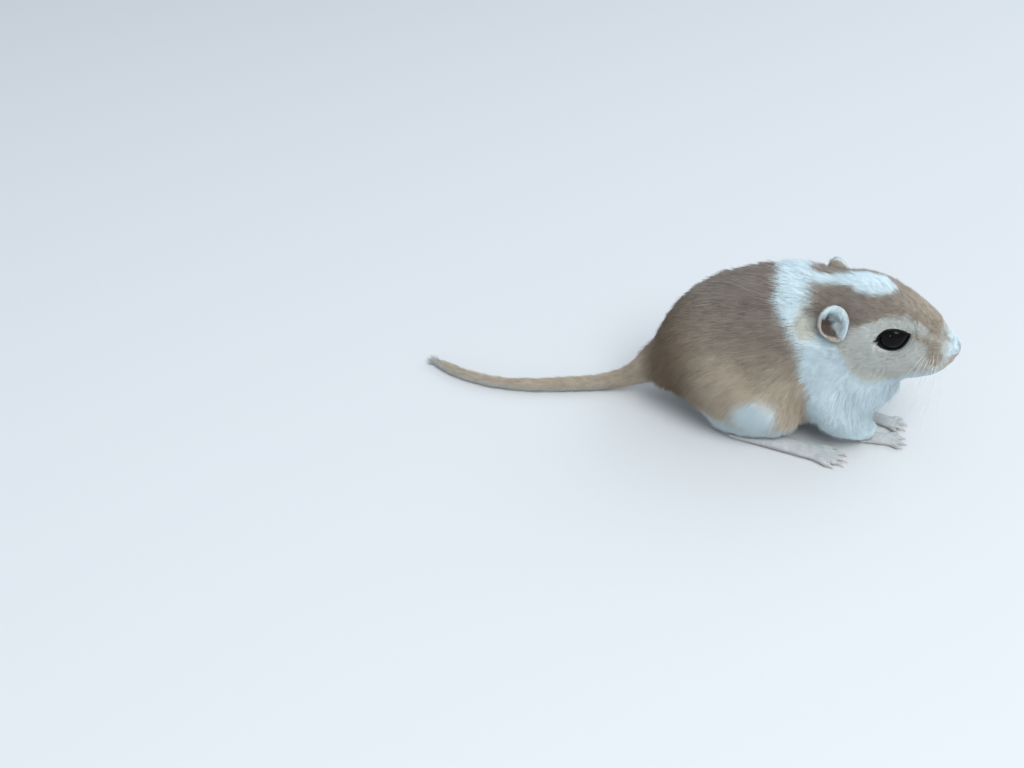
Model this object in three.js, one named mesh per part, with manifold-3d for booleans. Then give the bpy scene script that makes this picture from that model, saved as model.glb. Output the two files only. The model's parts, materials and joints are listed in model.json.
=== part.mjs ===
// A young Mongolian gerbil, life size, crouched on all four feet with its head raised and its tail laid out behind.
// Millimetres. The animal faces +X, its left side is +Y and +Z is up. The floor is at z = 0, and the
// finished group is moved so that the origin is the middle of the footprint, at floor level.
import * as THREE from "three";
import { mergeVertices } from "three/addons/utils/BufferGeometryUtils.js";
import Module from "manifold-3d";

const wasm = await Module();
wasm.setup();

const GAP = 0.3; // clearance between neighbouring pieces
const UP = new THREE.Vector3(0, 0, 1);
const AHEAD = new THREE.Vector3(1, 0, 0);
const SIDES = { right: -1, left: 1 };

const FINISH = {
  agouti: { color: 0x8f7c68, roughness: 0.95 },
  white: { color: 0xe9e6e0, roughness: 0.95 },
  bareSkin: { color: 0xd9b8ac, roughness: 0.7 },
  ear: { color: 0xb79a8c, roughness: 0.85 },
  eye: { color: 0x0a0808, roughness: 0.08 },
};

// Sizes of the animal, out to the tips of its short coat.
// A barrel is a list of upright sections: [x, top, height of the widest line, bottom, half width].
const TORSO = [
  [-34.2, 10.4, 9.4, 8.4, 1.2],
  [-33.6, 14.2, 10.6, 7.0, 5.0],
  [-31.6, 20.2, 12.4, 5.8, 8.6],
  [-27.8, 26.8, 14.0, 4.8, 11.8],
  [-22.4, 31.9, 15.0, 3.2, 13.8],
  [-15.6, 35.2, 15.6, 2.1, 14.7],
  [-8.4, 37.5, 16.2, 1.8, 14.9],
  [-1.4, 38.7, 17.0, 2.0, 14.3],
  [5.2, 36.6, 17.2, 2.6, 12.8],
  [11.0, 30.4, 16.6, 4.0, 10.8],
  [16.0, 25.2, 15.8, 7.0, 8.4],
  [19.4, 20.8, 15.2, 10.0, 5.2],
  [20.8, 17.6, 14.8, 12.4, 1.8],
];
const TORSO_SWELLS = [
  { at: [-14.0, 14.5, 14.5], reach: 10.0, rise: -3.2 }, // hollow where the haunch lies
  { at: [6.5, 12.0, 13.5], reach: 6.0, rise: -1.8 }, // and the upper arm
];
// The shoulders end at a slanting plane, and the neck and chest go on from there: way it faces, distance.
const COLLAR = { faces: [0.786, 0, 0.618], at: 18.2 };

// The head lies along its own axis, from the back of the skull near 0 to the tip of the nose.
const HEAD_AT = new THREE.Vector3(1, 0, 29);
const HEAD_PITCH = THREE.MathUtils.degToRad(8.6); // nose down
const HEAD = [
  [-1.4, 1.6, 0.2, -1.2, 1.6],
  [-0.6, 5.2, 0.1, -4.2, 5.0],
  [1.8, 9.2, -0.4, -7.4, 8.0],
  [6.0, 11.3, -1.2, -9.0, 9.6],
  [10.8, 11.6, -2.0, -9.7, 9.7],
  [15.6, 10.4, -1.8, -9.9, 8.4],
  [19.8, 9.1, -1.8, -9.6, 7.2],
  [23.6, 7.2, -2.0, -8.6, 5.9],
  [26.6, 5.1, -1.9, -7.0, 4.7],
  [29.0, 3.1, -1.5, -4.6, 3.2],
  [30.2, 1.7, -1.0, -2.7, 2.1],
  [30.75, 0.5, -0.6, -1.5, 0.9],
];
// Muscle, bone and fat that stand out of that barrel, or sink into it: place, reach, rise.
const HEAD_SWELLS = [
  { at: [26.6, 3.4, -3.0], reach: 2.6, rise: 0.8 }, // whisker pad
  { at: [13.0, 9.0, -4.0], reach: 5.0, rise: 0.7 }, // cheek
  { at: [15.8, 6.5, 7.0], reach: 3.2, rise: 0.5 }, // brow
  { at: [15.7, 8.6, 2.2], reach: 4.6, rise: 0.9 }, // round the eye
  { at: [22.6, 4.6, 2.2], reach: 3.0, rise: -0.5 }, // hollow before the eye
  { at: [24.4, 0.0, -8.6], reach: 3.0, rise: 0.5 }, // chin
  { at: [27.4, 0.0, 4.3], reach: 2.2, rise: -0.9 }, // dip above the nose
];

// The lids part in an almond, between a lower and an upper arc: half its length, height of each arc, slant.
const EYE = { at: [15.7, 5.15, 2.5], radius: 3.6, lid: 0.42, slit: { half: 3.75, above: 2.4, below: 2.6 }, slant: 0.42 };
// An ear is an oval cup: the lowest point of its rim, the way it stands and the way it opens, on the left side.
const EAR = { base: [5.6, 11.1, -0.4], stand: [-0.53, -0.04, 0.85], opens: [0.46, 0.88, 0.1] };
Object.assign(EAR, { length: 10.2, width: 8.0, depth: 2.8, wall: 0.7 });
const NOSTRIL = { at: [30.3, 1.25, -0.5], radius: 0.62 };
const MOUTH = { lip: 0.5, split: 0.35 }; // depth of the line between the lips, and of the split under the nose

// Nape and throat: x, y, centre height, half width, half height.
const NECK = [
  [-2.0, 0, 23.6, 10.6, 14.6],
  [4.0, 0, 24.8, 10.0, 14.2],
  [10.0, 0, 23.6, 8.8, 12.2],
];

// Tail, from root to tip: x, y, centre height, half width, half height.
const TAIL = [
  [-31.0, 0.0, 10.0, 4.4, 5.0],
  [-34.5, -0.1, 7.4, 3.3, 3.6],
  [-38.0, -0.3, 4.9, 2.6, 2.7],
  [-42.0, -0.8, 2.9, 2.1, 2.2],
  [-47.0, -2.2, 1.9, 1.9, 2.0],
  [-53.5, -4.4, 1.7, 1.8, 1.8],
  [-61.0, -6.8, 1.55, 1.65, 1.65],
  [-69.0, -8.0, 1.4, 1.5, 1.5],
  [-77.0, -7.2, 1.35, 1.45, 1.45],
  [-84.0, -4.6, 1.2, 1.3, 1.3],
  [-87.6, -2.6, 0.9, 0.7, 0.9],
];
const TAIL_PARTS = { tail_base: [0, 0.36], tail_middle: [0.36, 0.68], tail_end: [0.68, 1] };

// Legs of the right side, mirrored for the left: x, outward place, height, half width, half height.
const THIGH = [
  [-21.5, 7.6, 15.4, 6.2, 9.2],
  [-16.0, 9.4, 14.2, 6.8, 10.8],
  [-9.6, 10.5, 11.6, 6.4, 9.8],
  [-3.6, 11.0, 8.6, 4.8, 6.4],
];
const SHANK = [
  [-4.0, 11.4, 6.6, 3.6, 4.4],
  [-10.0, 11.4, 4.8, 3.6, 3.6],
  [-16.2, 10.4, 4.0, 2.6, 3.0],
];
const FORELEG = [
  [3.4, 7.0, 20.6, 4.6, 5.4],
  [6.0, 8.6, 14.4, 5.0, 5.6],
  [9.4, 7.9, 8.6, 4.2, 4.8],
  [12.8, 6.4, 5.2, 3.4, 3.8],
  [15.6, 5.0, 3.0, 2.2, 2.2],
];
const HIND_FOOT = { heel: [-12.5, 11.2], ball: [5.6, 13.2], heelHalf: 1.7, ballHalf: 2.5, height: 2.4, toe: 5.8 };
const FORE_FOOT = { heel: [15.2, 4.5], ball: [20.8, 3.4], heelHalf: 1.5, ballHalf: 1.9, height: 1.8, toe: 3.5 };
// Toes fan out of a ball: share of the ball's width, turn outward in degrees, share of the longest toe.
const HIND_TOES = [
  [-0.82, -24, 0.66],
  [-0.44, -10, 0.94],
  [0.0, 0, 1.0],
  [0.44, 9, 0.94],
  [0.82, 22, 0.7],
];
const FORE_TOES = [
  [-0.78, -30, 0.82],
  [-0.28, -8, 1.0],
  [0.28, 12, 0.98],
  [0.78, 34, 0.78],
];

const vector = ([x, y, z]) => new THREE.Vector3(x, y, z);

// A closed geometry from rings of points, each ring in order round the axis, with a flat fan at each end.
function skinOver(rings) {
  const around = rings[0].length;
  const points = rings.flat();
  const faces = [];
  for (let i = 0; i + 1 < rings.length; i++)
    for (let j = 0; j < around; j++) {
      const a = i * around + j;
      const b = i * around + ((j + 1) % around);
      faces.push(a, b, a + around, b, b + around, a + around);
    }
  for (const [first, turn] of [[0, 1], [(rings.length - 1) * around, -1]]) {
    const middle = new THREE.Vector3();
    for (let j = 0; j < around; j++) middle.addScaledVector(points[first + j], 1 / around);
    const hub = points.push(middle) - 1;
    for (let j = 0; j < around; j++) {
      const a = first + j;
      const b = first + ((j + 1) % around);
      if (turn > 0) faces.push(hub, b, a);
      else faces.push(hub, a, b);
    }
  }
  return new THREE.BufferGeometry().setFromPoints(points).setIndex(faces);
}

// Points move out along the line from the section's middle, by every swelling near them.
function raise(point, middle, swells) {
  const out = point.clone().sub(middle).normalize();
  let rise = 0;
  for (const { at, reach, rise: height } of swells) {
    const far = Math.hypot(point.x - at[0], Math.abs(point.y) - at[1], point.z - at[2]) / reach;
    rise += height * Math.exp(-far * far);
  }
  return point.addScaledVector(out, rise);
}

// The form of a barrel: the point at share t of its length, at an angle counted from its left side over its top.
function barrelForm(keys, swells) {
  const line = new THREE.CatmullRomCurve3(keys.map(([x, top, , bottom]) => new THREE.Vector3(x, top, bottom)));
  const girth = new THREE.CatmullRomCurve3(keys.map(([x, , widest, , half]) => new THREE.Vector3(x, widest, half)));
  const squareness = 0.93;
  return (t, angle) => {
    const { x, y: top, z: bottom } = line.getPoint(t);
    const { y: widest, z: half } = girth.getPoint(t);
    const c = Math.cos(angle);
    const s = Math.sin(angle);
    const point = new THREE.Vector3(
      x,
      half * Math.sign(c) * Math.abs(c) ** squareness,
      widest + (s > 0 ? top - widest : widest - bottom) * Math.sign(s) * Math.abs(s) ** squareness,
    );
    return raise(point, new THREE.Vector3(x, 0, widest), swells);
  };
}

function barrel(form, along, around) {
  const rings = [];
  for (let i = 0; i <= along; i++) {
    const ring = [];
    for (let j = 0; j < around; j++) ring.push(form(i / along, (j / around) * 2 * Math.PI));
    rings.push(ring);
  }
  return skinOver(rings);
}

// A round-ended limb along a smooth line: keys are [x, y, z, half width, half height].
function limb(keys, { around = 16, steps = 8, up = UP, from = 0, to = 1, domes = 3, roundStart = true } = {}) {
  const path = new THREE.CatmullRomCurve3(keys.map(vector));
  const size = new THREE.CatmullRomCurve3(keys.map(([, , , wide, high]) => new THREE.Vector3(wide, high, 0)));
  const stops = [];
  if (roundStart) for (let k = 1; k < domes; k++) stops.push([from, -Math.cos((k / domes) * (Math.PI / 2))]);
  for (let k = 0; k <= steps; k++) stops.push([from + ((to - from) * k) / steps, 0]);
  for (let k = domes - 1; k > 0; k--) stops.push([to, Math.cos((k / domes) * (Math.PI / 2))]);
  const rings = stops.map(([t, dome]) => {
    const tangent = path.getTangent(t);
    const side = new THREE.Vector3().crossVectors(up, tangent).normalize();
    const over = new THREE.Vector3().crossVectors(tangent, side).normalize();
    const { x: wide, y: high } = size.getPoint(t);
    const middle = path.getPoint(t).addScaledVector(tangent, dome * Math.min(wide, high));
    const scale = Math.sqrt(1 - dome * dome);
    return Array.from({ length: around }, (_, j) => {
      const angle = (j / around) * 2 * Math.PI;
      return middle
        .clone()
        .addScaledVector(side, wide * scale * Math.cos(angle))
        .addScaledVector(over, high * scale * Math.sin(angle));
    });
  });
  return skinOver(rings);
}

const onSide = (keys, side) => keys.map(([x, out, ...rest]) => [x, out * side, ...rest]);

// A geometry as a solid, pushed out along its normals by some distance.
function solid(geometry, by = 0) {
  const bare = geometry.clone();
  bare.deleteAttribute("normal");
  bare.deleteAttribute("uv");
  const merged = mergeVertices(bare, 1e-4);
  merged.computeVertexNormals();
  const place = merged.attributes.position;
  const normal = merged.attributes.normal;
  const points = [];
  for (let i = 0; i < place.count; i++)
    points.push(
      place.getX(i) + by * normal.getX(i),
      place.getY(i) + by * normal.getY(i),
      place.getZ(i) + by * normal.getZ(i),
    );
  const corners = merged.index.array;
  const kept = [];
  for (let i = 0; i < corners.length; i += 3) {
    const [a, b, c] = corners.subarray(i, i + 3);
    if (a !== b && b !== c && a !== c) kept.push(a, b, c);
  }
  const vertProperties = new Float32Array(points);
  return new wasm.Manifold(new wasm.Mesh({ numProp: 3, vertProperties, triVerts: new Uint32Array(kept) }));
}

const join = (solids) => solids.reduce((a, b) => a.add(b));
const cut = (body, tools) => tools.reduce((a, b) => a.subtract(b), body);
const clearance = (geometries) => geometries.map((geometry) => solid(geometry, GAP));
const largest = (body) => body.decompose().reduce((a, b) => (a.volume() > b.volume() ? a : b));

// The space under the floor, which flattens whatever stands on it.
function underFloor(level = 0) {
  const size = 300;
  return solid(new THREE.BoxGeometry(size, size, 20).translate(0, 0, level - 10));
}

function mesh(name, body, finish) {
  const { vertProperties, triVerts } = largest(body).getMesh();
  const geometry = new THREE.BufferGeometry()
    .setAttribute("position", new THREE.BufferAttribute(vertProperties, 3))
    .setIndex(new THREE.BufferAttribute(triVerts, 1));
  geometry.computeVertexNormals();
  const made = new THREE.Mesh(geometry, new THREE.MeshStandardMaterial({ ...FINISH[finish], metalness: 0 }));
  made.name = name;
  return made;
}

// A ball stretched to three half sizes and slanted, at a place.
function ball(at, halves, around = 20, slant = 0) {
  const geometry = new THREE.SphereGeometry(1, around, Math.round(around / 2));
  return geometry.scale(...halves).rotateY(slant).translate(...at);
}

// Lids stand over the ball of the eye, parted in an almond that rises towards the nose.
function eyelids(side) {
  const [x, out, z] = EYE.at;
  const at = [x, out * side, z];
  const lidRadius = EYE.radius + GAP + EYE.lid;
  const { half, above, below } = EYE.slit;
  const arc = (rise) => {
    const high = 3 * Math.abs(rise);
    const drop = high - Math.abs(rise);
    const long = half / Math.sqrt(1 - (drop / high) ** 2);
    const shape = ball([0, 0, -Math.sign(rise) * drop], [long, EYE.radius, high], 24);
    return solid(shape.rotateY(-EYE.slant).translate(x, (out + EYE.radius) * side, z));
  };
  return {
    lids: solid(ball(at, Array(3).fill(lidRadius))),
    socket: solid(ball(at, Array(3).fill(EYE.radius + GAP))),
    slit: arc(above).intersect(arc(-below)),
    eye: solid(ball(at, Array(3).fill(EYE.radius), 18)),
  };
}

// A narrow groove that follows a barrel's surface through the given shares of length and angles.
function groove(form, stops, width) {
  const points = stops.map(([t, angle]) => form(t, angle));
  return solid(limb(points.map((p) => [p.x, p.y, p.z, width, width]), { around: 6, steps: 5, domes: 2 }));
}

// The cup of an ear, in the head's frame.
function earCup(side) {
  const { length, width, depth, wall } = EAR;
  const profile = [];
  const steps = 5;
  for (let k = 0; k <= steps; k++) {
    const a = (k / steps) * (Math.PI / 2);
    profile.push(new THREE.Vector2(Math.sin(a), -Math.cos(a)));
  }
  for (let k = steps; k >= 0; k--) {
    const a = (k / steps) * (Math.PI / 2);
    profile.push(new THREE.Vector2(Math.sin(a) * (1 - (2 * wall) / width), -Math.cos(a) * (1 - wall / depth)));
  }
  const cup = new THREE.LatheGeometry(profile, 20).scale(width / 2, depth, length / 2);
  const place = cup.attributes.position;
  for (let i = 0; i < place.count; i++) {
    const high = place.getZ(i) / length + 0.5;
    place.setX(i, place.getX(i) * (1 - 0.12 * high - 0.6 * Math.max(0, 0.4 - high)));
    place.setY(i, place.getY(i) - 0.8 * Math.sin(Math.PI * high) + 0.5 * high);
  }
  // The cup opens along +Y and stands along +Z.
  cup.translate(0, 0, length / 2);
  const mirror = new THREE.Vector3(1, side, 1);
  const stand = vector(EAR.stand).multiply(mirror).normalize();
  const opens = vector(EAR.opens).multiply(mirror);
  opens.addScaledVector(stand, -opens.dot(stand)).normalize();
  const across = new THREE.Vector3().crossVectors(opens, stand);
  return cup
    .applyMatrix4(new THREE.Matrix4().makeBasis(across, opens, stand))
    .translate(...vector(EAR.base).multiply(mirror).toArray());
}

// A foot on the floor: a sole from heel to ball, toes that fan out of the ball, and a claw on each.
function foot(plan, toes, side) {
  const { heel, ball: front, heelHalf, ballHalf, height, toe } = plan;
  const ahead = new THREE.Vector2(front[0] - heel[0], front[1] - heel[1]).normalize();
  const outward = new THREE.Vector2(-ahead.y, ahead.x);
  const soleMid = [(heel[0] + front[0]) / 2, (heel[1] + front[1]) / 2];
  const pieces = [
    limb(
      onSide(
        [
          [...heel, height * 0.5, heelHalf, height * 0.52],
          [...soleMid, height * 0.52, (heelHalf + ballHalf) / 2, height * 0.56],
          [...front, height * 0.4, ballHalf, height * 0.46],
        ],
        side,
      ),
      { around: 10, steps: 4 },
    ),
  ];
  for (const [share, turn, reach] of toes) {
    const a = THREE.MathUtils.degToRad(turn);
    const way = new THREE.Vector2(
      ahead.x * Math.cos(a) + outward.x * Math.sin(a),
      ahead.y * Math.cos(a) + outward.y * Math.sin(a),
    );
    const root = [front[0] + outward.x * share * ballHalf * 0.8, front[1] + outward.y * share * ballHalf * 0.8];
    const length = toe * reach;
    const at = (far) => [root[0] + way.x * far * length, root[1] + way.y * far * length];
    const thick = height * 0.34;
    pieces.push(
      limb(
        onSide(
          [
            [...at(0.0), thick * 1.0, thick * 0.95, thick],
            [...at(0.45), thick * 1.25, thick * 0.85, thick],
            [...at(0.86), thick * 0.85, thick * 0.8, thick * 0.9],
          ],
          side,
        ),
        { around: 6, steps: 3, domes: 2, roundStart: false },
      ),
      limb(
        onSide(
          [
            [...at(0.95), thick * 1.15, thick * 0.34, thick * 0.42],
            [...at(1.12), thick * 0.95, thick * 0.24, thick * 0.3],
            [...at(1.26), thick * 0.42, thick * 0.1, thick * 0.1],
          ],
          side,
        ),
        { around: 4, steps: 2, domes: 1, roundStart: false },
      ),
    );
  }
  return pieces;
}

const animal = new THREE.Group();

// Head, in a frame of its own
const headFrame = new THREE.Group();
headFrame.position.copy(HEAD_AT);
headFrame.rotation.y = HEAD_PITCH;
headFrame.updateMatrix();
animal.add(headFrame);
const headForm = barrelForm(HEAD, HEAD_SWELLS);
const headShape = barrel(headForm, 22, 36);

let head = solid(headShape);
const eyes = Object.entries(SIDES).map(([name, side]) => ({ name, ...eyelids(side) }));
for (const { lids } of eyes) head = head.add(lids);
for (const { name, socket, slit, eye } of eyes) {
  head = cut(head, [socket, slit]);
  headFrame.add(mesh(`eye_${name}`, eye, "eye"));
}

// Nostrils, the line of the mouth, and the split of the upper lip
const under = -Math.PI / 2;
for (const side of Object.values(SIDES)) {
  const [x, out, z] = NOSTRIL.at;
  const lips = [[0.955, 0], [0.94, 0.5], [0.91, 0.85], [0.86, 1.1]].map(([t, turn]) => [t, under + side * turn]);
  const nostril = solid(ball([x, out * side, z], Array(3).fill(NOSTRIL.radius), 12));
  head = cut(head, [nostril, groove(headForm, lips, MOUTH.lip)]);
}
head = head.subtract(groove(headForm, [[0.99, under], [0.975, under], [0.955, under]], MOUTH.split));

// Ears, each in a hollow of the head
const earsInPlace = [];
for (const [name, side] of Object.entries(SIDES)) {
  const cup = earCup(side);
  headFrame.add(mesh(`ear_${name}`, solid(cup), "ear"));
  head = head.subtract(solid(cup, GAP).hull());
  earsInPlace.push(cup.clone().applyMatrix4(headFrame.matrix));
}
headFrame.add(mesh("head", head, "agouti"));

// Torso, and the neck that joins nape, throat and chest to the head
const neckShape = limb(NECK, { around: 24, steps: 4 });
const torsoShape = barrel(barrelForm(TORSO, TORSO_SWELLS), 24, 34);
const headInPlace = headShape.clone().applyMatrix4(headFrame.matrix);
const headRoom = [...clearance([headInPlace]), ...clearance(earsInPlace).map((ear) => ear.hull())];
const trunk = join([solid(torsoShape), solid(neckShape)]);
const backwards = COLLAR.faces.map((value) => -value);
animal.add(mesh("torso", cut(trunk.trimByPlane(backwards, GAP / 2 - COLLAR.at), headRoom), "agouti"));
animal.add(mesh("neck", cut(trunk.trimByPlane(COLLAR.faces, COLLAR.at + GAP / 2), headRoom), "white"));

// Legs and feet
for (const [name, side] of Object.entries(SIDES)) {
  const thigh = limb(onSide(THIGH, side), { around: 24, steps: 6 });
  const shank = limb(onSide(SHANK, side), { around: 16, steps: 4 });
  const hindleg = cut(join([solid(thigh), solid(shank)]), [...clearance([torsoShape]), underFloor(GAP)]);
  animal.add(mesh(`hindleg_${name}`, hindleg, "agouti"));

  const hindfoot = join(foot(HIND_FOOT, HIND_TOES, side).map((piece) => solid(piece)));
  animal.add(
    mesh(`hindfoot_${name}`, cut(hindfoot, [...clearance([torsoShape, thigh, shank]), underFloor()]), "bareSkin"),
  );

  const foreleg = limb(onSide(FORELEG, side), { around: 18, steps: 6, up: AHEAD });
  animal.add(
    mesh(`foreleg_${name}`, cut(solid(foreleg), [...clearance([torsoShape, neckShape]), underFloor(GAP)]), "white"),
  );

  const forefoot = join(foot(FORE_FOOT, FORE_TOES, side).map((piece) => solid(piece)));
  animal.add(mesh(`forefoot_${name}`, cut(forefoot, [...clearance([foreleg]), underFloor()]), "bareSkin"));
}

// Tail, in three lengths
const tailGap = GAP / 2 / 62; // as a share of the tail's length
const tailShare = (t, end) => (t === 0 || t === 1 ? t : t + end * tailGap);
for (const [name, [from, to]] of Object.entries(TAIL_PARTS)) {
  const piece = limb(TAIL, {
    around: 12,
    steps: 6,
    from: tailShare(from, 1),
    to: tailShare(to, -1),
    domes: to === 1 ? 3 : 1,
    roundStart: false,
  });
  animal.add(mesh(name, cut(solid(piece), [...clearance([torsoShape]), underFloor()]), "agouti"));
}

// The origin is the middle of the footprint
const extent = new THREE.Box3().setFromObject(animal, true);
const middle = extent.getCenter(new THREE.Vector3());
animal.position.set(-middle.x, -middle.y, -extent.min.z);

export default animal;
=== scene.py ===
# A young gerbil, life size, crouched on its feet. One skin lies inside the solids by the depth of the
# coat, and fine tufts, set along the lie of the hair, bring it back out to the solids' outline.
import json
import math

import bmesh
import bpy
import numpy as np
from mathutils import Matrix, Vector
from mathutils.kdtree import KDTree

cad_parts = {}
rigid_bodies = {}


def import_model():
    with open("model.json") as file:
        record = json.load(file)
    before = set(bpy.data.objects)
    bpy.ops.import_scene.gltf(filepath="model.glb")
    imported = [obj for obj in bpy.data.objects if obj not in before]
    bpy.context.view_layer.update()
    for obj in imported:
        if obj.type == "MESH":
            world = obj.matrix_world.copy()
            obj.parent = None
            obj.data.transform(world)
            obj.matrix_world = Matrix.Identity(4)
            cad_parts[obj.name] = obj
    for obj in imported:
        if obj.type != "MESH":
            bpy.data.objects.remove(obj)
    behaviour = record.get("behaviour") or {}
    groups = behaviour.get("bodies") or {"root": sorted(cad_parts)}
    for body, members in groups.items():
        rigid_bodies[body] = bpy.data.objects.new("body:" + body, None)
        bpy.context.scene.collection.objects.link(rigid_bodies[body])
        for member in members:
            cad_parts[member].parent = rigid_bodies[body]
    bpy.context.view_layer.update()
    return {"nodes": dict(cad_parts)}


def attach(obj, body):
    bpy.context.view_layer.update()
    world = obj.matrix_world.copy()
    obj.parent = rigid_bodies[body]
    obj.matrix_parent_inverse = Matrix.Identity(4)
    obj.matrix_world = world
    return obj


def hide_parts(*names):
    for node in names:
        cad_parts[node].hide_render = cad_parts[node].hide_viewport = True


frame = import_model()
cadNodes = frame["nodes"]

# Sizes are in millimetres from a point on the floor under the shoulders: x ahead, y to the left, z up.
# Those of the head are along its own axes, from the back of the skull.
stance = {"ahead": 28.410, "headAt": (1.0, 0.0, 29.0), "headPitch": 8.6}
pitch = math.radians(stance["headPitch"])
level, drop = math.cos(pitch), math.sin(pitch)
headAxes = np.array([[level, 0, -drop], [0, 1, 0], [drop, 0, level]])
headAt = np.array(stance["headAt"])
footing = np.array([stance["ahead"], 0, 0])
sides = (-1, 1)  # right, left


def toRow(points):
    return (np.asarray(points, float) + footing) * 0.001


def fromRow(points):
    return np.asarray(points, float) * 1000 - footing


def toHead(points):
    return (points - headAt) @ headAxes.T


def fromHead(points):
    return np.asarray(points, float) @ headAxes + headAt


def ease(start, end, value):
    t = np.clip((value - start) / (end - start), 0, 1)
    return t * t * (3 - 2 * t)


def unit(vectors):
    return vectors / (np.linalg.norm(vectors, axis=-1, keepdims=True) + 1e-12)


def near(points, middle, radii):
    # 1 at the middle of a soft ellipsoid, 0 outside it
    return 1 - ease(0.5, 1.0, np.linalg.norm((points - np.array(middle)) / np.array(radii), axis=1))


def ripples(points, size, seed):
    # uneven waves of about this size, from -1 to 1
    draw = np.random.default_rng(seed)
    total = np.zeros(len(points))
    for _ in range(7):
        way = unit(draw.normal(size=3)) * 2 * math.pi / (size * draw.uniform(0.7, 1.6))
        total += np.sin(points @ way + draw.uniform(0, 6.28))
    return total / 3.2


# Camera, at the photograph's view
view = {
    "place": (0, -225.35, 157.64),
    "right": (0.9573, 0.2889, 0),
    "up": (-0.1637, 0.5422, 0.8241),
    "focal": 1156,  # in pixels of a picture of this width
    "width": 1024,
    "sensor": 36,
}
lens = bpy.data.cameras.new("view")
lens.sensor_width = view["sensor"]
lens.lens = view["focal"] / view["width"] * view["sensor"]
lens.clip_start = 0.01
lens.clip_end = 20
camera = bpy.data.objects.new("view", lens)
bpy.context.scene.collection.objects.link(camera)
right, up = Vector(view["right"]), Vector(view["up"])
turned = Matrix((right, up, right.cross(up))).transposed()
camera.matrix_world = Matrix.Translation(toRow(view["place"])) @ turned.to_4x4()
bpy.context.scene.camera = camera
bpy.context.scene.view_settings.view_transform = "Standard"


def node(tree, kind, inputs=None, **settings):
    made = tree.nodes.new(kind)
    for key, value in settings.items():
        setattr(made, key, value)
    for key, value in (inputs or {}).items():
        if isinstance(value, bpy.types.NodeSocket):
            tree.links.new(value, made.inputs[key])
        else:
            made.inputs[key].default_value = value
    return made


# Soft studio: a pale sky, a broad lamp high on the right, a weak one behind and a small one low in front
studio = {
    "sky": (0.78, 0.88, 1.0),
    "skyLight": 0.82,
    "floor": (0.60, 0.60, 0.60),
    "reach": 3,
    "lampsAim": (0.04, 0, 0.01),
}
lamps = [
    {"name": "key", "at": (0.30, -0.40, 0.66), "size": 0.55, "power": 5.2, "tint": (0.95, 1.0, 1.0)},
    {"name": "rim", "at": (0.35, 0.50, 0.45), "size": 0.5, "power": 1.2, "tint": (0.86, 0.93, 1.0)},
    {"name": "low", "at": (-0.26, -0.83, 0.23), "size": 0.16, "power": 0.6, "tint": (1.0, 1.0, 1.0)},
]
world = bpy.data.worlds.new("sky")
bpy.context.scene.world = world
world.use_nodes = True
sky = world.node_tree.nodes["Background"]
sky.inputs["Color"].default_value = (*studio["sky"], 1)
sky.inputs["Strength"].default_value = studio["skyLight"]
for lamp in lamps:
    light = bpy.data.lights.new(lamp["name"], "AREA")
    light.shape = "DISK"
    light.size = lamp["size"]
    light.energy = lamp["power"]
    light.color = lamp["tint"]
    made = bpy.data.objects.new(lamp["name"], light)
    made.location = lamp["at"]
    aim = Vector(studio["lampsAim"]) - made.location
    made.rotation_euler = aim.to_track_quat("-Z", "Y").to_euler()
    bpy.context.scene.collection.objects.link(made)


def newObject(name, mesh):
    made = bpy.data.objects.new(name, mesh)
    bpy.context.scene.collection.objects.link(made)
    return made


def meshOf(name, points, faces):
    # points in millimetres
    mesh = bpy.data.meshes.new(name)
    mesh.from_pydata(toRow(points).tolist(), [], [list(map(int, face)) for face in faces])
    mesh.update()
    return mesh


def pointsOf(mesh):
    flat = np.empty(len(mesh.vertices) * 3)
    mesh.vertices.foreach_get("co", flat)
    return fromRow(flat.reshape(-1, 3))


def normalsOf(mesh):
    flat = np.empty(len(mesh.vertices) * 3, np.float32)
    mesh.vertex_normals.foreach_get("vector", flat)
    return flat.reshape(-1, 3).astype(float)


def setPoints(mesh, points):
    mesh.vertices.foreach_set("co", toRow(points).ravel())
    mesh.update()


def setSmooth(mesh):
    mesh.polygons.foreach_set("use_smooth", np.ones(len(mesh.polygons), bool))


def newMaterial(name, constants):
    made = bpy.data.materials.new(name)
    made.use_nodes = True
    shader = made.node_tree.nodes["Principled BSDF"]
    for key, value in constants.items():
        shader.inputs[key].default_value = value
    return made, made.node_tree, shader


far = studio["reach"]
corners = [(-far, -far, 0), (far, -far, 0), (far, far, 0), (-far, far, 0)]
floorMesh = bpy.data.meshes.new("floor")
floorMesh.from_pydata(corners, [], [(0, 1, 2, 3)])
floor = newObject("floor", floorMesh)
floorPaint = newMaterial("floor", {"Base Color": (*studio["floor"], 1), "Roughness": 0.9})[0]
floorMesh.materials.append(floorPaint)
print("studio and camera are set")


# The skin: the solids of flesh, closed over their gaps, melted together and smoothed
skinSizes = {
    "gapFill": 0.26,
    "voxel": 0.52,
    "rounds": 20,
    "footFill": 0.08,
    "footVoxel": 0.25,
    "footRounds": 7,
}
fleshNodes = ["torso", "neck", "head", "tail_base", "tail_middle", "tail_end"]
fleshNodes += [f"{part}_{side}" for part in ("hindleg", "foreleg") for side in ("right", "left")]
footNodes = [f"{part}_{side}" for part in ("hindfoot", "forefoot") for side in ("right", "left")]
eye = {
    "at": (15.7, 5.15, 2.5),
    "radius": 3.6,
    "socket": 4.0,
    "half": 3.55,  # of the opening between the lids, along it
    "above": 2.35,
    "below": 2.35,
    "slant": 0.42,
}
skull = {"at": (7.5, 0, 0.6), "radii": (9.6, 9.3, 10.4)}  # behind the hollows of the ears


def eyePlace(side):
    x, out, z = eye["at"]
    return np.array([x, out * side, z])


def toEye(head):
    # distance to the nearer eye
    return np.minimum(*(np.linalg.norm(head - eyePlace(side), axis=1) for side in sides))


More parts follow.
